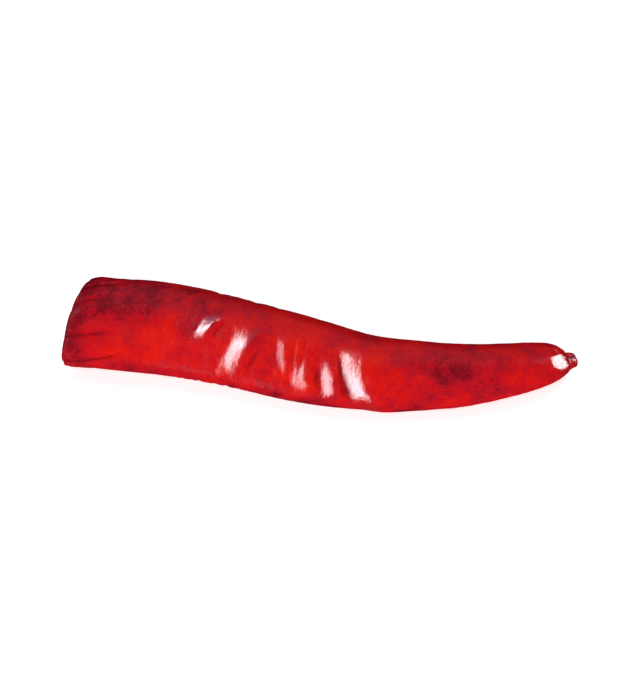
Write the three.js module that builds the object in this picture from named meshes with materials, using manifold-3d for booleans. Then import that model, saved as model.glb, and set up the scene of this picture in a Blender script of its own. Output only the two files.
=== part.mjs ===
// A dried chilli pepper: one whole pod with its stem snapped off, lying on its flatter side.
// Millimetres, +Z up. The stem scar is at the low-X end and the tip at the high-X end.
// The pod is one grown piece. It is turned as a round chilli first, then pressed flat, bent along
// a curved spine, dented, and flattened where it rests on the surface.

import * as THREE from "three";
import { mergeVertices } from "three/addons/utils/BufferGeometryUtils.js";
import Module from "manifold-3d";

// Driving dimensions.
const POD_LENGTH = 64; // from the scar's rim to the tip along the centre line's X
const POD_HALF_WIDTH = 6.4; // at the fattest place, seen from above
const FLATNESS = 0.76; // thickness over width: drying collapses the pod
const SCAR_RIM_RADIUS = 1.9;
const SCAR_DEPTH = 1.7;
const REST_DEPTH = 0.35; // how much of the belly the surface presses flat
const END_SLANT = 0.3; // mm along X for each mm to the side: the stem end is cut askew
const SLANT_REACH = 9; // mm from the stem end over which the slant fades away
const DEEPEST_DENT = 0.4; // no dent takes more than this share of the radius
const RING_SIDES = 44;
const ALONG_STEPS = 64;
const SLOPE_STEP = 0.5; // mm between the points that give the bend's heading
const WELD = 1e-4; // mm under which two points are one

// The pod's colour and finish: deep red skin with a waxy gloss.
const SKIN = { color: 0xb8141b, roughness: 0.32, metalness: 0 };

// The bend: X, Y of the centre line, and the height of the belly over the surface.
const BEND = [
  [0, 0.1, 0.3],
  [5, -0.2, -REST_DEPTH],
  [11, -0.8, -REST_DEPTH],
  [20, -2.8, -REST_DEPTH],
  [29, -5.6, -REST_DEPTH],
  [38, -7.7, -REST_DEPTH],
  [47, -8.2, 0.1],
  [56, -7.0, 0.8],
  [POD_LENGTH, -5.1, 2.7],
];

// Shares of the length, and of the half width there: a round shoulder, a long taper, a blunt tip.
const OUTLINE = [
  [0.0, SCAR_RIM_RADIUS / POD_HALF_WIDTH],
  [0.003, 0.62],
  [0.011, 0.87],
  [0.028, 0.985],
  [0.055, 1.005],
  [0.11, 1.0],
  [0.2, 1.0],
  [0.33, 0.985],
  [0.46, 0.935],
  [0.57, 0.87],
  [0.68, 0.785],
  [0.78, 0.685],
  [0.86, 0.585],
  [0.912, 0.46],
  [0.94, 0.34],
  [0.964, 0.2],
  [0.982, 0.14],
  [0.995, 0.09],
];

// The largest dents: place along X, angle round the section in degrees (0 is +Y, 90 is up),
// depth, half length along X and half width round the section in degrees.
const DENTS = [
  { at: 16.5, angle: 150, depth: 0.35, long: 2.2, wide: 34 },
  { at: 21.5, angle: 195, depth: 0.5, long: 2.0, wide: 40 },
  { at: 28.5, angle: 190, depth: 0.4, long: 1.8, wide: 44 },
  { at: 36.5, angle: 200, depth: 0.55, long: 1.9, wide: 42 },
  { at: 48.0, angle: 185, depth: 0.3, long: 3.0, wide: 36 },
  { at: 25.0, angle: 30, depth: 0.45, long: 3.2, wide: 46 },
  { at: 42.0, angle: 20, depth: 0.35, long: 3.0, wide: 44 },
];

const smooth = (t) => {
  const s = Math.min(1, Math.max(0, t));
  return s * s * (3 - 2 * s);
};

// The pit in the middle of the scar: shares of its depth and of the rim's radius, from the bottom up.
const PIT = [
  [1.0, 0],
  [0.85, 0.55],
  [0.3, 0.8],
];

// The round chilli: a closed profile that starts at the middle of the scar's pit and ends at the tip.
function turnedPod() {
  const outside = new THREE.SplineCurve(
    OUTLINE.map(([share, radius]) => new THREE.Vector2(radius * POD_HALF_WIDTH, share * POD_LENGTH)),
  );
  const pit = PIT.map(([depth, radius]) => new THREE.Vector2(radius * SCAR_RIM_RADIUS, depth * SCAR_DEPTH));
  const tip = new THREE.Vector2(0, POD_LENGTH);
  const profile = [...pit, ...outside.getSpacedPoints(ALONG_STEPS), tip];
  return new THREE.LatheGeometry(profile, RING_SIDES);
}

// The bend at X: the centre line's Y and the belly's height, on a smooth curve through the points.
function bendAt(x) {
  const clamped = Math.min(POD_LENGTH, Math.max(0, x));
  let i = BEND.findIndex(([px]) => px > clamped);
  i = i < 1 ? BEND.length - 1 : i;
  const [x0, x1] = [BEND[i - 1][0], BEND[i][0]];
  const t = (clamped - x0) / (x1 - x0);
  const slopeAt = (k, column) => {
    const a = BEND[Math.max(0, k - 1)];
    const b = BEND[Math.min(BEND.length - 1, k + 1)];
    return (b[column] - a[column]) / (b[0] - a[0]);
  };
  const hermite = (column) => {
    const [p0, p1] = [BEND[i - 1][column], BEND[i][column]];
    const [m0, m1] = [slopeAt(i - 1, column) * (x1 - x0), slopeAt(i, column) * (x1 - x0)];
    const [t2, t3] = [t * t, t * t * t];
    return (
      (2 * t3 - 3 * t2 + 1) * p0 + (t3 - 2 * t2 + t) * m0 + (3 * t2 - 2 * t3) * p1 + (t3 - t2) * m1
    );
  };
  return { y: hermite(1), belly: hermite(2) };
}

// The pod's half width at X, without the pit.
function halfWidthAt(x) {
  const share = Math.min(1, Math.max(0, x / POD_LENGTH));
  let i = OUTLINE.findIndex(([s]) => s > share);
  if (i < 0) return OUTLINE.at(-1)[1] * POD_HALF_WIDTH;
  i = Math.max(1, i);
  const [[s0, r0], [s1, r1]] = [OUTLINE[i - 1], OUTLINE[i]];
  return (r0 + ((r1 - r0) * (share - s0)) / (s1 - s0)) * POD_HALF_WIDTH;
}

function dentDepth(along, angle) {
  let depth = 0;
  for (const dent of DENTS) {
    const turn = Math.abs(((angle - dent.angle + 540) % 360) - 180);
    const far = ((along - dent.at) / dent.long) ** 2 + (turn / dent.wide) ** 2;
    depth += dent.depth * Math.exp(-far);
  }
  return depth;
}

// One point of the round chilli, carried to its place on the flattened, bent and dented pod.
function placeOnPod(point) {
  const along = point.y;
  const radius = Math.hypot(point.x, point.z);
  const angle = Math.atan2(point.z, -point.x);
  const degrees = ((THREE.MathUtils.radToDeg(angle) % 360) + 360) % 360;
  const dented = radius - Math.min(dentDepth(along, degrees), DEEPEST_DENT * radius);
  const side = dented * Math.cos(angle);
  const up = dented * FLATNESS * Math.sin(angle);

  const slant = END_SLANT * side * smooth(1 - along / SLANT_REACH);
  const here = bendAt(along);
  const [low, high] = [Math.max(0, along - SLOPE_STEP), Math.min(POD_LENGTH, along + SLOPE_STEP)];
  const heading = Math.atan2(bendAt(high).y - bendAt(low).y, high - low);
  const height = halfWidthAt(along) * FLATNESS + here.belly;
  return new THREE.Vector3(
    along + slant - side * Math.sin(heading),
    here.y + side * Math.cos(heading),
    height + up,
  );
}

function bentGeometry() {
  const geometry = turnedPod();
  const position = geometry.getAttribute("position");
  const point = new THREE.Vector3();
  for (let i = 0; i < position.count; i++) {
    point.fromBufferAttribute(position, i);
    const placed = placeOnPod(point);
    position.setXYZ(i, placed.x, placed.y, placed.z);
  }
  geometry.deleteAttribute("normal");
  geometry.deleteAttribute("uv");
  return mergeVertices(geometry, WELD);
}

const wasm = await Module();
wasm.setup();

function solidOf(geometry) {
  return new wasm.Manifold(
    new wasm.Mesh({
      numProp: 3,
      vertProperties: geometry.getAttribute("position").array,
      triVerts: new Uint32Array(geometry.index.array),
    }),
  );
}

function geometryOf(solid) {
  const mesh = solid.getMesh();
  return new THREE.BufferGeometry()
    .setAttribute("position", new THREE.BufferAttribute(mesh.vertProperties, 3))
    .setIndex(new THREE.BufferAttribute(mesh.triVerts, 1));
}

// The surface that the pod lies on, as a slab whose top is at Z 0.
function slabBelow() {
  const slab = new THREE.BoxGeometry(3 * POD_LENGTH, 3 * POD_LENGTH, POD_LENGTH);
  slab.translate(0, 0, -POD_LENGTH / 2);
  slab.deleteAttribute("normal");
  slab.deleteAttribute("uv");
  return mergeVertices(slab);
}

function driedPod() {
  const whole = solidOf(bentGeometry());
  const geometry = geometryOf(whole.subtract(solidOf(slabBelow())));
  geometry.computeVertexNormals();
  const mesh = new THREE.Mesh(geometry, new THREE.MeshStandardMaterial(SKIN));
  mesh.name = "chilli_pod";
  return mesh;
}

// The part's origin is under the middle of the pod, on the surface.
const pod = driedPod();
pod.geometry.computeBoundingBox();
const middle = pod.geometry.boundingBox.getCenter(new THREE.Vector3());
pod.position.set(-middle.x, -middle.y, 0);

const chilli = new THREE.Group();
chilli.add(pod);

export default chilli;
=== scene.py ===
# %% [markdown]
# # A dried chilli pepper
#
# This lesson builds one dried red chilli that has lost its stem. On the real fruit a fresh, smooth
# pod lost most of its water: the wall sank in on the air inside, the waxy outer skin was left too
# large for it, and so the skin crumpled into soft facets with creases between them.
# The lesson follows the same order. It makes the sunken pod, lays a skin on it that is too large,
# lets the skin settle, and then gives it colour, gloss, a floor and light.
# All lengths are in millimetres until the mesh is made, which is in metres.

# %% The frame that the looks are built on
import math

import bpy
import numpy as np
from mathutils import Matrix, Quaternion, Vector, noise


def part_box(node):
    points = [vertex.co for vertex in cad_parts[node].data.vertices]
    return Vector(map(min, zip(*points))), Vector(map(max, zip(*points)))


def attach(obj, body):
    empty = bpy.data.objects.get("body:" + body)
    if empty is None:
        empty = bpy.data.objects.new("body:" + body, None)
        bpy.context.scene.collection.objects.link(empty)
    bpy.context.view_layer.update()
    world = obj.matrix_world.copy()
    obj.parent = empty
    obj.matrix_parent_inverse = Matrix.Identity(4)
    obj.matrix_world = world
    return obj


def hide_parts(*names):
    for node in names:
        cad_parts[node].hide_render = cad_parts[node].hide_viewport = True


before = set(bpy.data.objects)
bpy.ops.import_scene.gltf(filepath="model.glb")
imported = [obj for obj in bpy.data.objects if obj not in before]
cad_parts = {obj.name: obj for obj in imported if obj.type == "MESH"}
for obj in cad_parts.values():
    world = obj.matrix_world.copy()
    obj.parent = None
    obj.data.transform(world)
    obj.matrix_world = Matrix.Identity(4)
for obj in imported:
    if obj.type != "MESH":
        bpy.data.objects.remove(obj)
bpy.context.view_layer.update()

MM = 0.001
POD_NODE = "chilli_pod"
cad_low, cad_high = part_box(POD_NODE)
print("the pod's space, mm:", [round((b - a) / MM, 1) for a, b in zip(cad_low, cad_high)])

# %% [markdown]
# ## A smooth line through a few points
#
# The outline and the bend are each known at a few places only. A cubic through the points gives the
# rest. Its slope at a point is the harmonic mean of the slopes on its two sides, and level where
# they disagree, so the line never swings past a point as a plain spline would.


# %% Curve helper
def through(points, place):
    """The value at each place of a smooth curve through (place, value) points."""
    at, value = np.array(points, float).T
    rise = np.diff(value) / np.diff(at)
    agree = rise[:-1] * rise[1:] > 0
    total = np.where(agree, rise[:-1] + rise[1:], 1)
    inner = np.where(agree, 2 * rise[:-1] * rise[1:] / total, 0)
    slope = np.concatenate([rise[:1], inner, rise[-1:]])
    i = np.clip(np.searchsorted(at, place, side="right") - 1, 0, len(at) - 2)
    width = at[i + 1] - at[i]
    t = np.clip((place - at[i]) / width, 0, 1)
    start = (1 + 2 * t) * (1 - t) ** 2 * value[i] + t * (1 - t) ** 2 * width * slope[i]
    return start + t * t * (3 - 2 * t) * value[i + 1] + t * t * (t - 1) * width * slope[i + 1]


def ramp(value, low, high):
    """0 up to low, 1 from high on, and a smooth step between them."""
    t = np.clip((value - low) / (high - low), 0, 1)
    return t * t * (3 - 2 * t)


print("half way up a step:", ramp(0.5, 0, 1))

# %% [markdown]
# ## The outline
#
# Turned round, the pod has a pit where the stem broke away, a lip round it, a square shoulder, a
# long even taper and a blunt tip that ends in a small dried nub. One line describes all of it, from
# the middle of the pit to the end of the nub, as (distance along the pod, radius).

# %% Outline of the pod
POD_LENGTH = 64.0
OUTLINE = [
    (1.9, 0.0),
    (1.75, 0.7),
    (1.1, 1.3),
    (0.25, 1.7),
    (-0.1, 2.05),
    (0.0, 2.6),
    (0.1, 4.3),
    (0.35, 5.7),
    (0.9, 6.4),
    (2.4, 6.7),
    (7.0, 6.7),
    (12.8, 6.55),
    (21.1, 6.35),
    (29.4, 5.98),
    (36.5, 5.46),
    (43.5, 5.02),
    (49.9, 4.42),
    (55.0, 3.88),
    (57.8, 3.52),
    (59.4, 3.2),
    (60.6, 2.86),
    (61.6, 2.38),
    (62.3, 1.82),
    (62.75, 1.34),
    (63.2, 1.18),
    (63.6, 1.00),
    (63.87, 0.62),
    (POD_LENGTH, 0.0),
]
# From this point on, the radius is the body's own. The points before it are the pit and the end wall.
FIRST_OF_BODY = 7

outline = np.array(OUTLINE)
body_line = outline[FIRST_OF_BODY:]
walked = np.concatenate([[0], np.cumsum(np.linalg.norm(np.diff(outline, axis=0), axis=1))])


def outline_at(rows):
    """Distance along the pod and radius, at evenly spaced rows from the pit to the nub."""
    walk = np.linspace(0, walked[-1], rows)
    along = through(list(zip(walked, outline[:, 0])), walk)
    radius = through(list(zip(walked, outline[:, 1])), walk)
    return along, np.maximum(radius, 0)


def on_end_wall(radius, shoulder):
    """True for the rows that come before the outline first reaches the shoulder's radius."""
    return np.arange(len(radius)) < np.argmax(radius > shoulder)


print("skin from the pit to the nub, mm:", round(walked[-1], 1))

# %% [markdown]
# ## The bend
#
# Seen from above the pod leaves its stem end straight, bends towards the viewer and straightens
# again before the tip. The belly lies on the floor for two thirds of the length, and the tip lifts.
# A Curve modifier could bend a straight pod. Here each row of the pod is carried to its place and
# turned along the line, with nearly the same two lists as in the plain solid, so that the two agree.

# %% Bend of the pod
BEND_SIDEWAYS = [
    (0, 0.3),
    (5, 0.1),
    (11, -0.45),
    (20, -2.7),
    (29, -5.6),
    (38, -7.7),
    (47, -8.2),
    (56, -7.0),
    (POD_LENGTH, -4.85),
]
BELLY_HEIGHT = [
    (0, 0.3),
    (5, -0.3),
    (20, -0.35),
    (38, -0.3),
    (47, 0.1),
    (56, 0.75),
    (60, 1.2),
    (POD_LENGTH, 2.4),
]
BEND_STEPS = 400
SIDE_ROUNDING = 18  # steps over which the corners of the sideways line are rounded
BELLY_ROUNDING = 10
FLATNESS = 0.76  # thickness over width
END_SLANT = 0.3  # mm along the pod for each mm to the side: the stem end is cut askew
SLANT_REACH = 9.0


def moving_average(values, span):
    """The values with corners rounded off over that many neighbours."""
    padded = np.pad(values, span, mode="reflect", reflect_type="odd")
    return np.convolve(padded, np.ones(2 * span + 1) / (2 * span + 1), mode="valid")


def bend_at(along):
    """Sideways place, belly height and heading of the centre line."""
    fine = np.linspace(-2, POD_LENGTH, BEND_STEPS)
    side = moving_average(through(BEND_SIDEWAYS, fine), SIDE_ROUNDING)
    belly = moving_average(through(BELLY_HEIGHT, fine), BELLY_ROUNDING)
    heading = np.arctan(np.gradient(side, fine))
    return [np.interp(along, fine, column) for column in (side, belly, heading)]


print("sideways at the tip, mm:", np.round(bend_at(np.array([POD_LENGTH]))[0], 1))

# %% [markdown]
# ## The section
#
# A chilli has two or three chambers inside. As it dries, the walls between them hold the skin, and
# it sinks in between, so the section is a flattened and rounded triangle rather than an ellipse. One
# of its three soft corners runs along the top of this pod and parts the dull upper strip from the
# bright front. The section turns slowly on its way to the tip.
# Angles go round the section from straight up, towards the viewer: 90 degrees faces the viewer, 180
# is the belly and 270 faces away. They are in degrees in the lists and in radians in the functions.

# %% Sunken pod
CORNER_SHARE = 0.055  # of the radius
CORNER_ANGLE = math.radians(4)
CORNER_TURN = math.radians(16)
WAIST_SHARE = 0.025
WAIST_SPACING = 4.3  # mm along the pod for each radian of the waves


def section_share(along, radius, angle):
    """How far the skin stands out at that angle, as a share of the plain ellipse."""
    turn = CORNER_ANGLE + CORNER_TURN * (along / POD_LENGTH - 0.4)
    corners = CORNER_SHARE * np.cos(3 * (angle - turn))
    waist = WAIST_SHARE * np.sin(along / WAIST_SPACING + 1.1) * np.cos(2 * (angle - 0.9) + along / 9)
    return 1 + ramp(radius, 1.8, 5.2) * (corners + waist)


def lay_out(along, radius, angle, sink=0.0):
    """Points of the pod: along and radius by row, angle by column, sink in mm below the plain skin."""
    along, radius = along[:, None], radius[:, None]
    angle = angle[None, :]
    share = section_share(along, radius, angle)
    out = radius * share - sink
    side = -out * np.sin(angle)
    up = FLATNESS * out * np.cos(angle)
    centre, belly, heading = bend_at(along)
    slant = END_SLANT * side * (1 - ramp(along, 0, SLANT_REACH))
    widest = np.interp(along, body_line[:, 0], body_line[:, 1])
    x = along + slant - side * np.sin(heading)
    y = centre + side * np.cos(heading)
    z = FLATNESS * widest + belly + up
    return np.stack(np.broadcast_arrays(x, y, z), axis=-1)


def columns_at(count):
    """That many even angles round the section."""
    return np.arange(count) * 2 * math.pi / count


smooth_pod = lay_out(*outline_at(113), columns_at(52))
print("sunken pod, mm:", np.round(np.ptp(smooth_pod.reshape(-1, 3), axis=0), 1))

# %% [markdown]
# ## The folds under the skin
#
# Where the pod bends, the flesh itself buckles crosswise. The side that is turned away buckles most,
# because the pod bends towards the viewer. Each of these folds has a crease line, a short steep side
# towards the scar and a long gentle side towards the tip. Their places are drawn by lot.

# %% Folds on the far side
FOLD_COUNT = 17
FIRST_FOLD = 5.0
FOLD_SPACING = 3.0
rng = np.random.default_rng(11)
# (along mm, angle deg, depth mm, steep side mm, gentle side mm, reach deg, lean in mm for each 10 deg)
FAR_FOLDS = [
    (
        FIRST_FOLD + FOLD_SPACING * i + rng.uniform(-1.0, 1.0),
        rng.uniform(195, 298),
        rng.uniform(0.25, 0.6),
        rng.uniform(0.8, 1.6),
        rng.uniform(1.2, 2.6),
        rng.uniform(22, 38),
        rng.uniform(-0.5, 0.5),
    )
    for i in range(FOLD_COUNT)
]
CREASE_ROUNDING = 0.12
# The far upper edge, which is the pod's outline from the front, keeps little of each fold.
UPPER_EDGE = 318
UPPER_EDGE_REACH = 30
UPPER_EDGE_EVENNESS = 0.92
SCAR_PLEAT_DEPTH = 0.3
TIP_PLEAT_DEPTH = 0.05


def turned_from(where, angle):
    """Degrees round the section from that place, between -180 and 180."""
    return (np.degrees(angle)[None, :] - where + 180) % 360 - 180


def fold_depth(along, angle, folds):
    """How deep the folds are at each row and column, in mm."""
    depth = np.zeros((len(along), len(angle)))
    for at, where, deep, steep, gentle, reach, lean in folds:
        away = turned_from(where, angle)
        across = along[:, None] - at - lean * away / 10
        share = across / np.where(across < 0, steep, gentle)
        vee = np.maximum(1 + CREASE_ROUNDING - np.sqrt(share**2 + CREASE_ROUNDING**2), 0)
        depth = np.maximum(depth, deep * vee * np.exp(-np.abs(away / reach) ** 2.5))
    body = ramp(along, 1.5, 5) * (1 - ramp(along, 59, 62))
    crest = np.exp(-(((np.degrees(angle) - UPPER_EDGE) / UPPER_EDGE_REACH) ** 2))
    return depth * body[:, None] * (1 - UPPER_EDGE_EVENNESS * crest)


def pleat_depth(along, radius, angle):
    """Pleats that run along the pod: from the scar over the shoulder, and again at the tip."""
    along, radius, angle = along[:, None], radius[:, None], angle[None, :]
    wander = 0.5 * np.sin(2 * angle + 0.6) + 0.35 * np.sin(3 * angle + along / 3.5)
    at_scar = ramp(radius, 2.0, 4.6) * (1 - ramp(along, 2.0, 9.0)) * (along < 20)
    at_tip = ramp(along, 52, 60) * ramp(radius, 0.6, 1.6)
    scar_pleats = 1 - np.abs(np.sin(5.5 * (angle + 0.3 * wander) + 0.25 * along)) ** 0.8
    tip_pleats = 1 - np.abs(np.sin(3.5 * angle + wander)) ** 0.8
    return SCAR_PLEAT_DEPTH * at_scar * scar_pleats + TIP_PLEAT_DEPTH * at_tip * tip_pleats


def flesh_at(rows, columns):
    """The pod under the skin, folds and all, on a grid of that many rows and columns."""
    along, radius = outline_at(rows)
    angle = columns_at(columns)
    sink = fold_depth(along, angle, FAR_FOLDS)
    sink += pleat_depth(along, radius, angle)
    flesh = lay_out(along, radius, angle, sink)
    flesh[..., 2] = np.maximum(flesh[..., 2], 0)
    return flesh, along, radius


far_sink = fold_depth(np.linspace(0, 60, 200), columns_at(90), FAR_FOLDS)
print("deepest fold, mm:", round(far_sink.max(), 2))

# %% [markdown]
# ## The skin that is too large
#
# The crumples between the folds aren't drawn but found. The skin is a net of threads, in the end less
# than a fifth of a millimetre apart. Every thread is a few percent longer than its place on the
# sunken pod, so the net can't lie flat. It is held near the pod by the drying flesh, resists
# bending, and can't go through the floor. Shortening and stretching each thread in turn, over and
# over, lets it settle in creases. Threads that share no point are moved at once: first the even ones,
# then the odd ones. Blender's Cloth could do this too. A small solver that is written out here can
# have its own spare length at every point, and it makes the same creases on each run.


# %% Net of threads
THREAD_FIRMNESS = 0.9
SLANTED_FIRMNESS = 0.5
PROUD_HOLD = 0.03


def pull(a, b, rest, free_a, free_b, firm):
    """The moves of a and b that bring them towards their rest distance."""
    gap = b - a
    far = np.sqrt((gap**2).sum(axis=-1, keepdims=True)) + 1e-9
    push = 0.5 * firm * (1 - rest[..., None] / far) * gap
    return push * free_a, -push * free_b


def distances(a, b):
    """The lengths from the points a to the points b."""
    return np.sqrt(((b - a) ** 2).sum(axis=-1))


def ring(values, step):
    """The values of the columns that many steps further round the pod."""
    return np.roll(values, -step, axis=1)


def spread(values):
    """The mean of the four neighbours, less the value: how far a point is off from level."""
    ends = np.concatenate([values[:1], values, values[-1:]])
    return (ends[:-2] + ends[2:] + ring(values, 1) + ring(values, -1)) / 4 - values


def normals_of(points):
    """Outward directions of the skin."""
    lengthways = np.gradient(points, axis=0)
    around = ring(points, 1) - ring(points, -1)
    out = np.cross(around, lengthways)
    return out / (np.linalg.norm(out, axis=-1, keepdims=True) + 1e-9)


def settle(start, flesh, longer, wider, free, rounds, hold, stiff):
    """The net after it has settled. longer and wider are the spare lengths along and round the pod."""
    skin = start.copy()
    out = normals_of(flesh)
    free = free[:, None, None]
    along_rest = distances(flesh[:-1], flesh[1:]) * (1 + (longer[:-1] + longer[1:]) / 2)
    round_rest = distances(flesh, ring(flesh, 1)) * (1 + (wider + ring(wider, 1)) / 2)
    mean = 1 + (longer + wider) / 2
    slash_rest = distances(flesh[:-1], ring(flesh, 1)[1:]) * (mean[:-1] + ring(mean, 1)[1:]) / 2
    back_rest = distances(flesh[:-1], ring(flesh, -1)[1:]) * (mean[:-1] + ring(mean, -1)[1:]) / 2
    span = 2 * ((len(skin) - 1) // 2)
    for _ in range(rounds):
        for first in (0, 1):
            a = slice(first, first + span, 2)
            b = slice(first + 1, first + 1 + span, 2)
            move_a, move_b = pull(skin[a], skin[b], along_rest[a], free[a], free[b], THREAD_FIRMNESS)
            skin[a] += move_a
            skin[b] += move_b
            for step, rest in ((1, slash_rest), (-1, back_rest)):
                beside = ring(skin, step)[b]
                move_a, move_b = pull(skin[a], beside, rest[a], free[a], free[b], SLANTED_FIRMNESS)
                skin[a] += move_a
                skin[b] += ring(move_b, -step)
        for first in (0, 1):
            turned = ring(skin, first)
            rest = ring(round_rest, first)[:, 0::2]
            move_a, move_b = pull(turned[:, 0::2], turned[:, 1::2], rest, free, free, THREAD_FIRMNESS)
            turned[:, 0::2] += move_a
            turned[:, 1::2] += move_b
            skin = ring(turned, -first)
        off = skin - flesh
        off -= stiff * spread(spread(off)) * free
        proud = (off * out).sum(axis=-1, keepdims=True)
        off -= hold * off
        off -= PROUD_HOLD * np.maximum(proud, 0) * out
        skin = flesh + off
        skin[..., 2] = np.maximum(skin[..., 2], 0)
    return skin


print("a thread at rest moves by:", pull(np.zeros(3), np.array([1.0, 0, 0]), np.ones(()), 1, 1, 1)[0])

# %% [markdown]
# ## Letting it settle
#
# The spare length isn't the same everywhere. In the middle it is spare lengthways and makes
# crosswise creases, next to the scar and near the tip it is spare sideways and makes pleats that
# run along the pod. Broad soft noise makes some places smoother than others.
# The skin settles on a coarse net first, and then on two nets that are each twice as fine, because
# a fine net alone would need far more rounds before a whole side of it has moved.


# %% Soft noise
def cloudy(points, size, seed):
    """Soft noise in the range -1 to 1, with blots about that many mm across."""
    shift = Vector((seed * 7.13, seed * 3.71, seed * 5.37))
    flat = points.reshape(-1, 3)
    values = [noise.noise(Vector(p) / size + shift) for p in flat]
    return np.array(values).reshape(points.shape[:-1])


print("noise at one place:", np.round(cloudy(np.array([[1.0, 2.0, 3.0]]), 7.0, seed=1), 3))

# %% Spare length of the skin
FRONT_MIDDLE = math.radians(40)
FRONT_REACH = math.radians(133)
# Shares that are spare everywhere, at the middle or the ends of the pod, and away from the front
SPARE_ALONG = (0.018, 0.016, 0.05)
SPARE_ROUND = (0.008, 0.012, 0.03)
END_WALL_RADIUS = 6.0  # mm: up to there the outline is the end wall with the scar


def spare_lengths(points, along, angle):
    """The shares by which the skin is too long and too wide."""
    middle = ramp(along, 6, 16) * (1 - ramp(along, 46, 58))
    ends = 1 - ramp(along, 3, 12) + ramp(along, 48, 58)
    from_front = (angle - FRONT_MIDDLE + math.pi) % (2 * math.pi) - math.pi
    away = 1 - np.exp(-((from_front / FRONT_REACH) ** 6))
    everywhere, at_middle, behind = SPARE_ALONG
    longer = everywhere + at_middle * middle[:, None] + behind * middle[:, None] * away
    longer = longer * (1 + 0.9 * cloudy(points, 7.0, seed=1))
    everywhere, at_ends, behind = SPARE_ROUND
    wider = everywhere + at_ends * ends[:, None] + behind * away
    wider = wider * (1 + 0.8 * cloudy(points, 6.0, seed=2))
    return longer, wider


def freedom(along, radius):
    """1 where the skin is loose, 0 where it is grown fast: in the scar and at the nub."""
    loose = 1 - 0.9 * ramp(along, 56.5, 60.5)
    return np.where(on_end_wall(radius, END_WALL_RADIUS), ramp(radius, 2.6, 4.4), loose)


def finer(offsets):
    """Offsets on a grid twice as fine, on smooth curves through the old ones."""
    grid = offsets
    before, after = np.roll(grid, 1, axis=1), np.roll(grid, -1, axis=1)
    middle = (9 * (grid + after) - before - np.roll(grid, -2, axis=1)) / 16
    grid = np.stack([grid, middle], axis=2).reshape(grid.shape[0], -1, 3)
    padded = np.concatenate([grid[:1], grid, grid[-1:]])
    middle = (9 * (padded[1:-2] + padded[2:-1]) - padded[:-3] - padded[3:]) / 16
    made = np.empty((2 * len(grid) - 1, grid.shape[1], 3))
    made[0::2], made[1::2] = grid, middle
    return made


print("loosest skin:", freedom(*outline_at(113)).max())

# %% Settling on finer and finer nets
# rows, columns, rounds, hold, stiff, share of the spare length, jitter in mm
LEVELS = [
    (113, 52, 400, 0.008, 0.12, 0.75, 0.12),
    (225, 104, 260, 0.003, 0.12, 0.95, 0.03),
    (449, 208, 60, 0.001, 0.12, 1.05, 0.0),
]
SMOOTHING = 0.7
SKIN_PASSES = 3
TAUT_PASSES = 14

offsets = None
for rows, columns, rounds, hold, stiff, share, jitter in LEVELS:
    flesh, along, radius = flesh_at(rows, columns)
    free = freedom(along, radius)
    longer, wider = spare_lengths(flesh, along, columns_at(columns)[None, :])
    out = normals_of(flesh)
    offsets = np.zeros_like(flesh) if offsets is None else finer(offsets)
    offsets += jitter * cloudy(flesh, 1.8, seed=3)[..., None] * out * free[:, None, None]
    skin = settle(flesh + offsets, flesh, share * longer, share * wider, free, rounds, hold, stiff)
    offsets = skin - flesh
    proud = (offsets * out).sum(axis=-1)
    print(rows, "rows: skin over the flesh, mm: from", round(proud.min(), 2), "to", round(proud.max(), 2))

# Creases of one thread's width are drawn smooth by the skin's own thickness.
for _ in range(SKIN_PASSES):
    offsets += SMOOTHING * spread(offsets) * free[:, None, None]
# Along the far upper edge the skin is drawn tight, so the outline from the front stays nearly even.
taut = np.exp(-(((np.degrees(columns_at(columns)) - UPPER_EDGE) / UPPER_EDGE_REACH) ** 2))
for _ in range(TAUT_PASSES):
    offsets += SMOOTHING * spread(offsets) * free[:, None, None] * taut[None, :, None]
skin = flesh + offsets
print("skin at the end, mm:", np.round(np.ptp(skin.reshape(-1, 3), axis=0), 1))

# %% [markdown]
# ## The folds that catch the light
#
# The folds on the front are the pod's mark: each one swells to a crest, falls steeply towards the
# tip into a crease, and comes back to level. The flank that faces the scar end catches the light as a
# lens-shaped patch and the flank behind it stays crimson. The pod that is being copied has these
# patches at known places, and creases that are left to settle fall where they like. So these folds
# are listed, and laid on the skin that has settled.

# %% Listed folds on the side that shows
# (crest along mm, angle deg, height mm, near flank mm, far flank mm, reach deg, lean mm for 10 deg,
# and how brightly the near flank is rubbed, from 0 to 1)
FRONT_FOLDS = [
    (18.4, 26, 0.50, 1.5, 1.0, 15, -0.46, 0.78),
    (23.1, 53, 0.66, 2.4, 1.4, 25, -0.25, 0.78),
    (28.1, 43, 0.28, 1.2, 0.9, 20, 0.22, 0.32),
    (31.1, 66, 0.54, 2.3, 0.9, 18, 0.08, 0.48),
    (34.2, 65, 0.58, 1.8, 0.7, 27, 0.11, 0.66),
    (37.8, 64, 1.00, 2.6, 6.5, 53, 0.30, 1.00),
]
CREASE_SHARE = 0.12
RECOVERY = 3.0
LEVEL_RUN = 0.6


def fold_height(along, angle):
    """How far the listed folds lift the skin at each row and column, in mm."""
    height = np.zeros((len(along), len(angle)))
    for crest, where, high, near, far, reach, lean, _ in FRONT_FOLDS:
        away = turned_from(where, angle)
        across = along[:, None] - crest - lean * away / 10
        profile = [
            (-near - LEVEL_RUN, 0),
            (-near, 0),
            (-0.8 * near, 0.14 * high),
            (-0.2 * near, 0.88 * high),
            (0, high),
            (far, -CREASE_SHARE * high),
            (far + RECOVERY, 0),
            (far + RECOVERY + LEVEL_RUN, 0),
        ]
        height += through(profile, across) * np.exp(-np.abs(away / reach) ** 2.5)
    return height


angle = columns_at(columns)
laid = fold_height(along, angle) * np.where(on_end_wall(radius, END_WALL_RADIUS), 0, 1)[:, None]
skin += laid[..., None] * normals_of(lay_out(along, radius, angle))
print("highest crest, mm:", round(laid.max(), 2), "deepest crease, mm:", round(laid.min(), 2))

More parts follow.
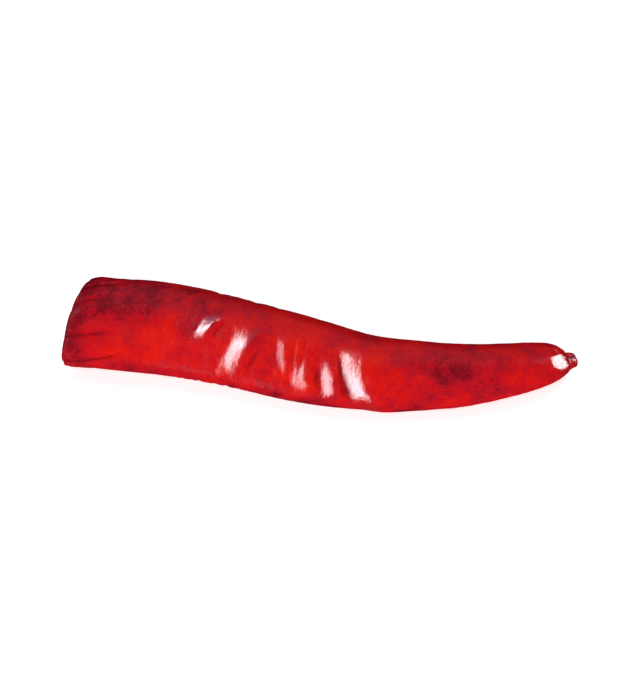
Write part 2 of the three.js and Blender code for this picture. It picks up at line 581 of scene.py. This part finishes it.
# %% [markdown]
# ## The scar
#
# The stem was snapped off, and took a ring of skin with it. What is left is a torn lip of pale dry
# tissue round a hole, with the stump of the seed stalk inside. The lip is pushed out in uneven
# teeth, fibres run down the wall of the pit, and the stump is a small cone on its floor. All of it is
# one tissue with the wall of the pod, so it is shaped from the same skin and not added as a piece.

# %% Torn lip and stump
LIP_RADIUS = 2.15
LIP_WIDTH = 0.42
TOOTH_LENGTH = 0.4
SPOKE_DEPTH = 0.16
STUMP_HEIGHT = 1.1
STUMP_RADIUS = 0.55
SCAR_FIELD_RADIUS = 5.0
scar_rows = on_end_wall(radius, SCAR_FIELD_RADIUS)


def teeth(angle):
    """How far the lip is torn out at that angle, from 0 to 1."""
    wave = 0.5 + 0.28 * np.sin(5 * angle + 0.8) + 0.22 * np.sin(11 * angle + 2.0)
    return np.clip(wave + 0.3 * np.sin(23 * angle + 0.5) * np.sin(3 * angle), 0, 1) ** 1.4


lip = np.where(scar_rows, np.exp(-(((radius - LIP_RADIUS) / LIP_WIDTH) ** 2)), 0)[:, None]
skin[..., 0] -= TOOTH_LENGTH * lip * teeth(angle)[None, :]
pit_wall = np.where(scar_rows, ramp(radius, 0.7, 1.4) * (1 - ramp(radius, 1.9, 2.6)), 0)[:, None]
skin[..., 0] += SPOKE_DEPTH * (np.sin(17 * angle + 1.0)[None, :] * pit_wall)
stump = np.where(scar_rows, np.exp(-((radius / STUMP_RADIUS) ** 2)), 0)[:, None]
skin[..., 0] -= STUMP_HEIGHT * stump
print("teeth stand out by up to, mm:", round(TOOTH_LENGTH * teeth(angle).max(), 2))

# %% [markdown]
# ## The facet at the tip
#
# The blunt tip has sunk in on one side, to a small flat facet that looks up and to the right. It is
# flat enough to hold a whole white patch of light. The skin's points near it are pressed towards a
# plane that lies just under the place that looks that way already.

# %% Facet at the tip
FACET_FACING = np.array([0.59, -0.34, 0.73])
FACET_DEPTH = 0.12
FACET_PLACE = (59.5, 61.3)  # mm along the pod
FACET_SIZE = (0.8, 1.9)  # radius of the flat part and of its soft rim, mm
FACET_FLATNESS = 0.75
facing = FACET_FACING / np.linalg.norm(FACET_FACING)
first_row, last_row = [np.argmax(along > place) for place in FACET_PLACE]
likeness = normals_of(skin)[first_row:last_row] @ facing
row, column = np.unravel_index(likeness.argmax(), likeness.shape)
facet_middle = skin[first_row + row, column]
uneven = 1 + 0.6 * cloudy(skin, 1.1, seed=31)
near_facet = 1 - ramp(distances(skin, facet_middle) * uneven, *FACET_SIZE)
height_over = (skin - facet_middle) @ facing + FACET_DEPTH
skin -= (FACET_FLATNESS * near_facet * height_over)[..., None] * facing
print("facet at along, angle:", round(along[first_row + row], 1), round(math.degrees(angle[column])))

# %% [markdown]
# ## Fine wrinkles
#
# Under a lens the skin between the creases isn't smooth. It has faint ripples across the pod, a
# millimetre or two apart, and a slight dimpling where the flesh dried unevenly. The nub is crumpled
# all over. The ripples are weaker along the two lines that are the pod's outline from the front.
# A bump in the material could draw them too, but would leave the outline and the bright patches'
# edges too even, so the skin's points themselves are moved.

# %% Ripples
RIPPLE_HEIGHT = 0.05
DIMPLE_HEIGHT = 0.018
CRUMPLE_HEIGHT = 0.08
OUTLINE_ANGLES = (135, 315)
NUB_START = 61.0

# Each point's place on the pod as if it were straight and round
unbent = np.stack(
    np.broadcast_arrays(
        along[:, None],
        radius[:, None] * np.sin(angle)[None, :],
        radius[:, None] * np.cos(angle)[None, :],
    ),
    axis=-1,
)
loose = freedom(along, radius)[:, None]
ripples = cloudy(unbent * np.array([1.0, 0.35, 0.35]), 0.9, seed=7)
dimples = cloudy(unbent, 2.2, seed=9)
nub = ramp(along, NUB_START, 62.6)[:, None]
crumples = cloudy(unbent, 0.55, seed=15)
patches = 1 + 0.6 * cloudy(unbent, 4.5, seed=21)
for edge in OUTLINE_ANGLES:
    patches = patches * (1 - 0.6 * np.exp(-(((np.degrees(angle) - edge) / 24) ** 2)))
lift = (RIPPLE_HEIGHT * ripples * patches + DIMPLE_HEIGHT * dimples) * loose
lift = lift + CRUMPLE_HEIGHT * crumples * nub
skin += lift[..., None] * normals_of(skin)
skin[..., 2] = np.maximum(skin[..., 2], 0)
print("ripples, mm:", round(RIPPLE_HEIGHT * np.abs(ripples * patches).max(), 3))

# %% [markdown]
# ## The mesh
#
# So far the skin is a grid of places: a row for each distance along the pod and a column for each
# angle. The mesh joins neighbours on the grid by four-sided faces. The first row shrinks to one point
# in the middle of the pit and the last one to the end of the nub, so the mesh is closed. The pod
# could be sculpted as well, but its points wouldn't know how far along and round the pod they are,
# and the colours need that.

# %% Mesh
pod_middle = (skin.reshape(-1, 3).min(axis=0) + skin.reshape(-1, 3).max(axis=0)) / 2
placed = (skin - np.array([pod_middle[0], pod_middle[1], 0])) * MM


def flat_list(grid):
    """The points of a grid whose first and last rows are drawn together into one point each."""
    ends = np.stack([grid[0].mean(axis=0), grid[-1].mean(axis=0)])
    inner = grid[1:-1]
    return np.concatenate([inner.reshape((-1,) + inner.shape[2:]), ends])


def faces_of(rows, columns):
    """Four-sided faces between the rows, and a fan of triangles at each end."""
    r, c = np.meshgrid(np.arange(rows - 1), np.arange(columns), indexing="ij")
    here, beside = r * columns + c, r * columns + (c + 1) % columns
    quads = np.stack([here, here + columns, beside + columns, beside], axis=-1).reshape(-1, 4)
    first, last, end = rows * columns, rows * columns + 1, (rows - 1) * columns
    pit = [(first, i, (i + 1) % columns) for i in range(columns)]
    nub = [(last, end + (i + 1) % columns, end + i) for i in range(columns)]
    return quads.tolist() + pit + nub


pod_mesh = bpy.data.meshes.new("dried_pod")
pod_mesh.from_pydata(flat_list(placed).tolist(), [], faces_of(len(along) - 2, len(angle)))
pod_mesh.shade_smooth()
pod = bpy.data.objects.new("dried_pod", pod_mesh)
bpy.context.scene.collection.objects.link(pod)
print("triangles:", sum(len(p.vertices) - 2 for p in pod_mesh.polygons))

# %% [markdown]
# ## What the colours need to know
#
# The colours follow the skin's own history and some painted shade, so each point of the mesh carries
# a few numbers for the material to read: its place on the pod as if it were straight, how deep it
# sits in a crease, how dark its red is, painted shade included, and whether it belongs to the scar.

# %% Creases and the scar
BLUR_PASSES = 60
smooth = lay_out(along, radius, angle)
relief = ((skin - smooth) * normals_of(smooth)).sum(axis=-1)


def blurred(values, passes):
    """The values after that many rounds of averaging with their neighbours."""
    for _ in range(passes):
        values = values + spread(values)
    return values


crease = ramp(blurred(relief, BLUR_PASSES) - relief, 0.02, 0.22)
scar = np.where(scar_rows, 1 - ramp(radius, 2.3, 3.3), 0)[:, None] * np.ones_like(relief)
print("in a crease:", round(float((crease > 0.5).mean()), 2), "of the skin")

# %% Darkness of the red, with painted shade
MEAN_DARKNESS = 0.30
# A darkness below 0 makes a place brighter.
# (along mm, angle deg, length mm, reach deg, darkness)
DARK_AND_SHADED_PLACES = [
    # Painted shade over the end round the scar.
    (1.0, 30, 4.5, 120, 0.55),  # the rim round the scar
    (6.5, 10, 4.0, 36, 0.40),
    (4.0, 95, 3.0, 30, -0.15),
    (10.0, 70, 4.5, 30, -0.20),
    (17.5, 20, 2.5, 20, 0.25),
    (25.0, 20, 2.0, 26, 0.20),
    (33.0, 40, 5.0, 22, -0.25),
    (43.5, 84, 5.0, 36, 0.12),
    (48.0, 38, 3.2, 23, 0.66),  # the bruise
    (53.5, 70, 3.5, 30, 0.10),
    (56.5, 30, 3.0, 40, 0.15),
    (12.5, -10, 5.0, 32, 0.38),
    (28.0, 114, 18.0, 24, 0.18),
    (30.5, 126, 7.5, 22, 0.36),
    # Painted shade along the lower and the upper outline.
    (32.0, 130, 34.0, 20, 0.16),  # all along the lower edge
    (30.0, -54, 40.0, 22, 0.26),  # all along the upper edge
    (9.0, 110, 8.0, 28, 0.34),
    (28.0, 0, 5.0, 32, -0.17),
    (39.5, 0, 6.5, 32, -0.12),
    (49.0, 80, 7.0, 30, 0.22),
    (50.0, 2, 7.0, 24, 0.18),
    (63.8, 60, 1.4, 200, 0.30),  # the nub
]
# Painted shade: the upper strip, turned away from the front light, is made a little darker.
SHADED_STRIP = -42
SHADED_STRIP_REACH = 46
darkness = np.full(relief.shape, MEAN_DARKNESS)
for at, where, length, reach, dark in DARK_AND_SHADED_PLACES:
    away = turned_from(where, angle)
    darkness += dark * np.exp(-(((along[:, None] - at) / length) ** 2) - (away / reach) ** 2)
upper = np.exp(-((turned_from(SHADED_STRIP, angle) / SHADED_STRIP_REACH) ** 2))
darkness += 0.06 * upper + 0.25 * cloudy(unbent * np.array([1.0, 0.6, 0.6]), 4.2, seed=12)
print("darkness: from", round(darkness.min(), 2), "to", round(darkness.max(), 2))

# %% [markdown]
# ## Where the skin shines
#
# A dried pod that has been handled is rubbed bright where it stands out. On this one these are the
# near flanks of the folds on the front and the facet at the tip. The open skin of the front has
# little wax left and is nearly matt, and the far side, which was never rubbed, keeps a soft even
# coat of wax. So does the nub. One number for each point says how much wax shows there, which puts
# the gloss where it belongs without a painted picture.

# %% Polish and wax
RUBBED_REACH = 45  # no flank is rubbed further round than that, in degrees
DULL_TOP = (9, 19)  # degrees from the top, over which the polish comes in
SHADE_SIDE = 232  # degrees: the middle of the far side
SHADE_SIDE_REACH = 62
POLISH_STRENGTH = 0.90
NUB_WAX = 0.35

polish = np.zeros_like(relief)
for crest, where, high, near, far, reach, lean, rubbed in FRONT_FOLDS:
    away = turned_from(where, angle)
    across = along[:, None] - crest - lean * away / 10
    flank = ramp(across, -1.2 * near, -0.7 * near) * (1 - ramp(across, 0.1, 0.5))
    rubbed_reach = min(1.15 * reach, RUBBED_REACH)
    polish = np.maximum(polish, rubbed * flank * np.exp(-np.abs(away / rubbed_reach) ** 4))
# The very top stays dull: a gloss there would mirror the dim panel behind the pod, and look grey.
polish *= ramp(turned_from(0, angle), *DULL_TOP)
polish = np.maximum(polish, ramp(near_facet, 0.1, 0.9))
waxed = ramp(along, 1.5, 6.0) * (1 - 0.6 * ramp(along, 50, 57)) * (1 - ramp(along, 62.2, 63.0))
shade_side = np.exp(-((turned_from(SHADE_SIDE, angle) / SHADE_SIDE_REACH) ** 4))
wax = (0.02 + (0.05 + 0.34 * shade_side) * waxed[:, None]) * (1 - 0.5 * crease)
wax = wax + POLISH_STRENGTH * polish
wax += NUB_WAX * ramp(along, 62.5, 63.0)[:, None]
print("well rubbed:", round(float((polish > 0.5).mean()), 3), "of the skin")


# %% The numbers go onto the mesh
def give(mesh, name, kind, values):
    """A named number or place on every point of the mesh."""
    made = mesh.attributes.new(name, kind, "POINT")
    field = "vector" if kind == "FLOAT_VECTOR" else "value"
    made.data.foreach_set(field, flat_list(values).astype(np.float32).ravel())


give(pod_mesh, "unbent", "FLOAT_VECTOR", unbent)
give(pod_mesh, "crease", "FLOAT", crease)
give(pod_mesh, "darkness", "FLOAT", darkness)
give(pod_mesh, "scar", "FLOAT", scar)
give(pod_mesh, "wax", "FLOAT", wax)
print("numbers on each point:", [a.name for a in pod_mesh.attributes if not a.name.startswith(".")])

# %% [markdown]
# ## Material helpers
#
# A material is a small machine of nodes. These helpers add a node, join it up and set it in one
# line, so that the recipes below read from top to bottom.


# %% Node helpers
class Recipe:
    """The nodes of one material."""

    def __init__(self, name):
        self.material = bpy.data.materials.new(name)
        self.material.use_nodes = True
        self.tree = self.material.node_tree
        self.shader = self.tree.nodes["Principled BSDF"]

    def put(self, socket, value):
        """Joins a socket to another node's output, or sets it to a number or colour."""
        if isinstance(value, bpy.types.NodeSocket):
            self.tree.links.new(value, socket)
        else:
            socket.default_value = value

    def finish(self, name, value):
        """Sets or joins one input of the material's shader."""
        self.put(self.shader.inputs[name], value)

    def read(self, name):
        """The number or place that each point of the mesh carries under that name."""
        node = self.tree.nodes.new("ShaderNodeAttribute")
        node.attribute_name = name
        return node

    def maths(self, operation, a, b=0.0):
        """One sum or product. Both are kept between 0 and 1."""
        node = self.tree.nodes.new("ShaderNodeMath")
        node.operation = operation
        node.use_clamp = True
        self.put(node.inputs[0], a)
        self.put(node.inputs[1], b)
        return node.outputs[0]

    def stretched(self, place, scale):
        """The place with each of its directions scaled."""
        node = self.tree.nodes.new("ShaderNodeVectorMath")
        node.operation = "MULTIPLY"
        self.put(node.inputs[0], place)
        self.put(node.inputs[1], scale)
        return node.outputs[0]

    def along(self, place):
        """The first direction of the place, which runs along the pod."""
        node = self.tree.nodes.new("ShaderNodeSeparateXYZ")
        self.put(node.inputs[0], place)
        return node.outputs[0]

    def noise(self, place, scale, detail=2.0, rough=0.5):
        """Cloudy noise from 0 to 1, with that many blots to the millimetre."""
        node = self.tree.nodes.new("ShaderNodeTexNoise")
        self.put(node.inputs["Vector"], place)
        self.put(node.inputs["Scale"], scale)
        self.put(node.inputs["Detail"], detail)
        self.put(node.inputs["Roughness"], rough)
        return node.outputs["Fac"]

    def spots(self, place, scale):
        """The distance from the nearest of many scattered spots."""
        node = self.tree.nodes.new("ShaderNodeTexVoronoi")
        self.put(node.inputs["Vector"], place)
        self.put(node.inputs["Scale"], scale)
        return node.outputs["Distance"]

    def fit(self, value, low, high, to_low=0.0, to_high=1.0):
        """A smooth step from to_low to to_high while the value goes from low to high."""
        node = self.tree.nodes.new("ShaderNodeMapRange")
        node.interpolation_type = "SMOOTHSTEP"
        for socket, number in zip(node.inputs[1:5], (low, high, to_low, to_high)):
            self.put(socket, number)
        self.put(node.inputs[0], value)
        return node.outputs[0]

    def blend(self, share, first, second):
        """A mix of two colours."""
        node = self.tree.nodes.new("ShaderNodeMix")
        node.data_type = "RGBA"
        self.put(node.inputs[0], share)
        self.put(node.inputs[6], first)
        self.put(node.inputs[7], second)
        return node.outputs[2]

    def shades(self, value, stops):
        """A colour looked up by the value, between (value, colour) stops."""
        node = self.tree.nodes.new("ShaderNodeValToRGB")
        elements = node.color_ramp.elements
        while len(elements) < len(stops):
            elements.new(0.5)
        for element, (at, colour) in zip(elements, stops):
            element.position = at
            element.color = (*colour, 1)
        self.put(node.inputs[0], value)
        return node.outputs[0]

    def bump(self, height, strength, distance, under=None):
        """A normal that is tilted as if the surface had that height, over another bump if given."""
        node = self.tree.nodes.new("ShaderNodeBump")
        self.put(node.inputs["Height"], height)
        self.put(node.inputs["Strength"], strength)
        self.put(node.inputs["Distance"], distance)
        if under is not None:
            self.put(node.inputs["Normal"], under)
        return node.outputs["Normal"]


print("recipes can make:", [n for n in dir(Recipe) if not n.startswith("_")])

# %% [markdown]
# ## The skin's colour and gloss
#
# Light goes through the waxy outer skin, is coloured by the dry flesh and comes back. Thin, well
# ripened places are a clear bright red and thick or bruised ones go to maroon. The creases, the
# upper strip, the end round the scar and both outlines are darkened as painted shade, and the
# darker reds lean to blue as a painted cool sheen. The nub has dark specks. The wax itself is a
# thin clear layer, so the gloss is the coat of the shader, as strong as the wax on each point says,
# over a base that doesn't shine.
# A picture could be painted on the mesh instead. Nodes that read the numbers on the points need no
# unwrapping, and stay sharp from near by.

# %% Skin
skin_recipe = Recipe("chilli_skin")
place = skin_recipe.read("unbent").outputs["Vector"]
crease_here = skin_recipe.read("crease").outputs["Fac"]
dark_here = skin_recipe.read("darkness").outputs["Fac"]
mottle = skin_recipe.noise(skin_recipe.stretched(place, (0.8, 0.6, 0.6)), 0.55, 3.0, 0.6)
fleck = skin_recipe.noise(place, 2.2, 3.0, 0.65)
dark = skin_recipe.maths("ADD", dark_here, skin_recipe.fit(mottle, 0.3, 0.7, -0.26, 0.26))
dark = skin_recipe.maths("ADD", dark, skin_recipe.fit(fleck, 0.28, 0.72, -0.18, 0.18))
# The darker stops lean to blue: a painted cool sheen, put in for the dull upper strip.
RED_SHADES = [
    (0.0, (0.59, 0.0085, 0.0045)),
    (0.35, (0.48, 0.0055, 0.0090)),
    (0.70, (0.34, 0.0055, 0.0130)),
    (1.0, (0.18, 0.0035, 0.0095)),
]
# Painted shade: the creases are darkened towards this red.
CREASE_SHADE_RED = (0.10, 0.002, 0.006, 1)
SPECK_COLOUR = (0.035, 0.004, 0.004, 1)
red = skin_recipe.shades(dark, RED_SHADES)
red = skin_recipe.blend(skin_recipe.fit(crease_here, 0.1, 1.0, 0.0, 0.55), red, CREASE_SHADE_RED)
nub_here = skin_recipe.fit(skin_recipe.along(place), 61.2, 62.6)
specks = skin_recipe.fit(skin_recipe.noise(place, 2.3, 1.0, 0.5), 0.54, 0.62)
red = skin_recipe.blend(skin_recipe.maths("MULTIPLY", specks, nub_here), red, SPECK_COLOUR)
skin_recipe.finish("Base Color", red)
print("nodes that make the colour:", len(skin_recipe.tree.nodes))

# %% [markdown]
# ## The skin's surface
#
# The coat's gloss isn't perfect: pores and a fine crosswise grain, too small to model, break the
# edges of the bright patches. They are bumps of a tenth of a millimetre at most.

# %% Gloss and grain of the skin
PORE_DEPTH = 0.00004  # metres
GRAIN_DEPTH = 0.00010
skin_recipe.finish("Roughness", skin_recipe.fit(mottle, 0.3, 0.7, 0.32, 0.46))
skin_recipe.finish("Specular IOR Level", 0.0)
skin_recipe.finish("Coat Weight", skin_recipe.read("wax").outputs["Fac"])
skin_recipe.finish("Coat Roughness", 0.10)
skin_recipe.finish("Coat IOR", 1.9)
pores = skin_recipe.spots(place, 3.2)
fine = skin_recipe.noise(skin_recipe.stretched(place, (1.0, 0.5, 0.5)), 3.4, 3.0, 0.65)
grain = skin_recipe.bump(pores, 0.25, PORE_DEPTH)
grain = skin_recipe.bump(fine, 0.6, GRAIN_DEPTH, grain)
skin_recipe.finish("Normal", grain)
skin_recipe.finish("Coat Normal", grain)
pod_mesh.materials.append(skin_recipe.material)
print("nodes in the skin:", len(skin_recipe.tree.nodes))

# %% [markdown]
# ## The scar's tissue
#
# Where the stem came away the inside shows: dry, pale and fibrous at the torn lip, orange where it
# passes into the red wall, and dark where the hole goes into the shade. It has no wax on it, so it
# is a material of its own, on the faces inside a ragged line.

# %% Scar tissue
scar_recipe = Recipe("scar_tissue")
place = scar_recipe.read("unbent").outputs["Vector"]
scar_here = scar_recipe.read("scar").outputs["Fac"]
fibres = scar_recipe.noise(scar_recipe.stretched(place, (0.6, 3.0, 3.0)), 1.6, 4.0, 0.7)
TISSUE_SHADES = [
    (0.0, (0.20, 0.012, 0.008)),
    (0.35, (0.50, 0.11, 0.02)),
    (0.65, (0.72, 0.42, 0.14)),
    (1.0, (0.80, 0.62, 0.33)),
]
PIT_COLOUR = (0.06, 0.03, 0.012, 1)
FIBRE_DEPTH = 0.00015
paleness = scar_recipe.maths("MULTIPLY", scar_here, scar_recipe.fit(fibres, 0.3, 0.6, 0.5, 1.0))
deep_in = scar_recipe.fit(scar_recipe.along(place), 0.5, 1.5, 0.0, 0.9)
tissue = scar_recipe.blend(deep_in, scar_recipe.shades(paleness, TISSUE_SHADES), PIT_COLOUR)
scar_recipe.finish("Base Color", tissue)
scar_recipe.finish("Roughness", 0.85)
scar_recipe.finish("Specular IOR Level", 0.2)
scar_recipe.finish("Normal", scar_recipe.bump(fibres, 0.7, FIBRE_DEPTH))
pod_mesh.materials.append(scar_recipe.material)

torn_line = 2.5 + 0.35 * np.sin(7 * angle + 1.3) + 0.25 * np.sin(19 * angle)
in_scar = scar_rows[1:-2, None] & (radius[1:-2, None] < torn_line[None, :])
# The faces come in the order in which the mesh was made: rows, then pit, then nub.
kinds = np.concatenate([in_scar.ravel(), np.ones(len(angle), bool), np.zeros(len(angle), bool)])
pod_mesh.polygons.foreach_set("material_index", kinds.astype(np.int32))
print("faces in the scar:", int(kinds.sum()))

# %% [markdown]
# ## The piece joins the frame
#
# The frame holds the plain solid of the pod, whose size and place are known exactly. The mesh stands
# in for that solid, and rides on the same body, so it is where the solid would be.

# %% The piece joins the frame
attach(pod, "root")
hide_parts(POD_NODE)
print("the mesh stands in for:", POD_NODE)

# %% [markdown]
# ## The floor
#
# The pod lies on a sheet of white paper, so bright that its far edge can't be seen. A large plane
# with a white matt paint and a faint glow of its own gives that. It is hidden from glossy rays,
# because a glossy fold that mirrored the whole floor would be white all over.
# The floor, the lamps and the camera are placed in metres.

# %% Floor
FLOOR_HALF = 12.0
floor_mesh = bpy.data.meshes.new("floor")
floor_corners = [(x * FLOOR_HALF, y * FLOOR_HALF, 0) for x, y in ((-1, -1), (1, -1), (1, 1), (-1, 1))]
floor_mesh.from_pydata(floor_corners, [], [(0, 1, 2, 3)])
floor = bpy.data.objects.new("floor", floor_mesh)
bpy.context.scene.collection.objects.link(floor)
floor_paint = bpy.data.materials.new("floor_paint")
floor_paint.use_nodes = True
floor_shader = floor_paint.node_tree.nodes["Principled BSDF"]
floor_shader.inputs["Base Color"].default_value = (0.8, 0.8, 0.8, 1)
floor_shader.inputs["Roughness"].default_value = 0.8
floor_shader.inputs["Emission Color"].default_value = (1, 1, 1, 1)
floor_shader.inputs["Emission Strength"].default_value = 0.5
floor_mesh.materials.append(floor_paint)
floor.visible_glossy = False
print("floor, m:", 2 * FLOOR_HALF, "each way")

# %% [markdown]
# ## The light
#
# Two kinds of lamp share the work, as in a product photographer's studio. Two broad soft boxes, in
# front and above, light the matt red and stay out of the reflections. Four panels do the opposite:
# they are seen only in the gloss. The tall one on the left makes the white patches on the folds, and
# the small one behind it brightens their upper ends. The one on the right makes the patch on the
# facet, and a wide dim bluish one behind gives the upper edge its cool sheen.

# %% Light
AIM = (0, 0, 0.004)  # the middle of the pod
world = bpy.data.worlds.new("studio")
bpy.context.scene.world = world
world.use_nodes = True
room_light = world.node_tree.nodes["Background"]
room_light.inputs["Color"].default_value = (0.9, 0.93, 1.0, 1)
room_light.inputs["Strength"].default_value = 0.06
print("light from the room itself:", round(room_light.inputs["Strength"].default_value, 2))


def softbox(name, place, size, power, roll=0.0, diffuse=True, gloss=True):
    """A rectangular lamp that looks at the pod, turned by roll degrees about its own axis."""
    lamp = bpy.data.lights.new(name, "AREA")
    lamp.shape = "RECTANGLE"
    lamp.size, lamp.size_y = size
    lamp.energy = power
    holder = bpy.data.objects.new(name, lamp)
    holder.location = place
    facing = (Vector(AIM) - Vector(place)).to_track_quat("-Z", "Y")
    holder.rotation_euler = (facing @ Quaternion((0, 0, 1), math.radians(roll))).to_euler()
    holder.visible_diffuse = diffuse
    holder.visible_glossy = gloss
    bpy.context.scene.collection.objects.link(holder)
    return holder


def around(azimuth, elevation, distance):
    """A place seen from the pod: azimuth from the viewer's side towards the right, in degrees."""
    a, e = math.radians(azimuth), math.radians(elevation)
    flat = distance * math.cos(e)
    return (flat * math.sin(a), -flat * math.cos(a), distance * math.sin(e))


# name, place, size in m, power in W
softbox("front_light", around(-8, 38, 1.3), (0.9, 0.7), 15.4, gloss=False)
softbox("top_light", around(150, 75, 1.1), (0.9, 0.9), 5.6, gloss=False)
back_sheen = softbox("back_sheen", around(180, 50, 0.9), (1.6, 1.2), 6.0, diffuse=False)
back_sheen.data.color = (0.6, 0.72, 1.0)
left_glint = softbox("left_glint", around(-68, 15, 0.5), (0.36, 1.56), 16.8, roll=25, diffuse=False)
left_glint.data.color = (0.90, 0.94, 1.0)
softbox("left_back_glint", around(-110, 42, 0.5), (0.3, 0.3), 2.0, diffuse=False)
softbox("right_glint", around(102, 24, 0.5), (0.24, 0.54), 3.9, diffuse=False)

# %% [markdown]
# ## The camera
#
# The viewer stands in front of the table and looks down at the pod at half a right angle, through a
# long lens, so the near and the far end are drawn to the same scale.

# %% Camera
LENS = 180
ELEVATION = math.radians(45)
DISTANCE = 0.44
camera_data = bpy.data.cameras.new("camera")
camera_data.lens = LENS
camera = bpy.data.objects.new("camera", camera_data)
bpy.context.scene.collection.objects.link(camera)
bpy.context.scene.camera = camera
target = Vector(AIM)
back = Vector((0, -math.cos(ELEVATION), math.sin(ELEVATION)))
camera.location = target + back * DISTANCE
camera.rotation_euler = (-back).to_track_quat("-Z", "Y").to_euler()
bpy.context.scene.view_settings.view_transform = "Standard"
print("camera at, m:", [round(c, 3) for c in camera.location])

# %% [markdown]
# ## The end
